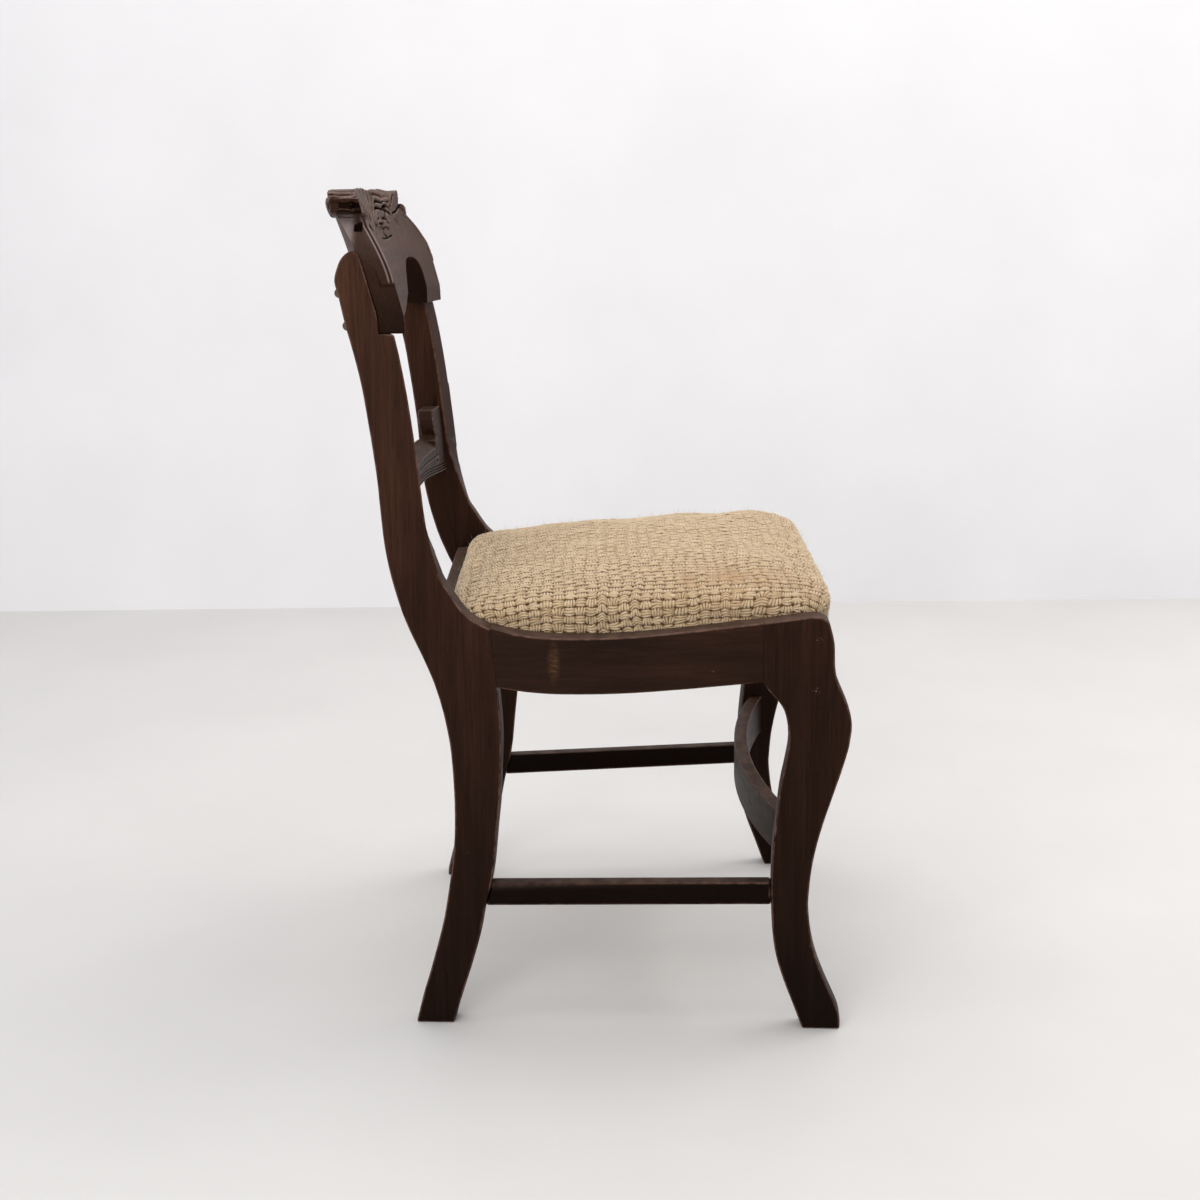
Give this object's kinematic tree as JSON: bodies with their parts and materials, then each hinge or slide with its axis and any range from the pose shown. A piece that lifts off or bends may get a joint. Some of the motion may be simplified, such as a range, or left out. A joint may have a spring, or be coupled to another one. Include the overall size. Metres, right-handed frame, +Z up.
{
  "type": "carved side chair",
  "caption": "Side chair with sabre legs, a bowed and carved crest rail over a shaped mid rail, a hollow-bowed front stretcher and a drop-in seat covered in coarse weave.",
  "frame": {"origin": "middle of the chair's outer box, on the floor", "axes": "+Z up, the chair faces -Y, +X is the sitter's left"},
  "size_m": [0.4792, 0.5244, 0.8421],
  "materials": {
    "stained_frame_wood": "dark red-brown stain, satin, open pores, worn lighter at the edges",
    "block_pine": "sawn, unstained, aged",
    "dowel_beech": "fluted beech, glued",
    "seat_board_plywood": "plain plywood",
    "woven_cover": "coarse basket weave of thick cream and tan yarn",
    "cotton_filling": "matted cotton",
    "steel_screw": "zinc-plated steel",
    "aged_screw": "browned steel, round head"
  },
  "bodies": {
    "root": {"corner_block_front_left": "block_pine", "corner_block_front_right": "block_pine", "corner_block_rear_left": "block_pine", "corner_block_rear_right": "block_pine", "corner_block_screw_1": "steel_screw", "corner_block_screw_2": "steel_screw", "corner_block_screw_3": "steel_screw", "corner_block_screw_4": "steel_screw", "corner_block_screw_5": "steel_screw", "corner_block_screw_6": "steel_screw", "corner_block_screw_7": "steel_screw", "corner_block_screw_8": "steel_screw", "crest_rail": "stained_frame_wood", "crest_screw_1": "aged_screw", "crest_screw_2": "aged_screw", "crest_screw_3": "aged_screw", "crest_screw_4": "aged_screw", "front_leg_left": "stained_frame_wood", "front_leg_right": "stained_frame_wood", "front_rail": "stained_frame_wood", "front_rail_dowel_1": "dowel_beech", "front_rail_dowel_2": "dowel_beech", "front_rail_dowel_3": "dowel_beech", "front_rail_dowel_4": "dowel_beech", "front_stretcher": "stained_frame_wood", "mid_rail": "stained_frame_wood", "mid_rail_dowel_1": "dowel_beech", "mid_rail_dowel_2": "dowel_beech", "mid_rail_dowel_3": "dowel_beech", "mid_rail_dowel_4": "dowel_beech", "post_left": "stained_frame_wood", "post_right": "stained_frame_wood", "rear_rail": "stained_frame_wood", "rear_rail_dowel_1": "dowel_beech", "rear_rail_dowel_2": "dowel_beech", "rear_rail_dowel_3": "dowel_beech", "rear_rail_dowel_4": "dowel_beech", "seat_board": "seat_board_plywood", "seat_cover": "woven_cover", "seat_filling": "cotton_filling", "seat_screw_1": "steel_screw", "seat_screw_2": "steel_screw", "seat_screw_3": "steel_screw", "seat_screw_4": "steel_screw", "side_rail_dowel_1": "dowel_beech", "side_rail_dowel_2": "dowel_beech", "side_rail_dowel_3": "dowel_beech", "side_rail_dowel_4": "dowel_beech", "side_rail_dowel_5": "dowel_beech", "side_rail_dowel_6": "dowel_beech", "side_rail_dowel_7": "dowel_beech", "side_rail_dowel_8": "dowel_beech", "side_rail_left": "stained_frame_wood", "side_rail_right": "stained_frame_wood", "side_stretcher_left": "stained_frame_wood", "side_stretcher_right": "stained_frame_wood"}
  },
  "joints": []
}
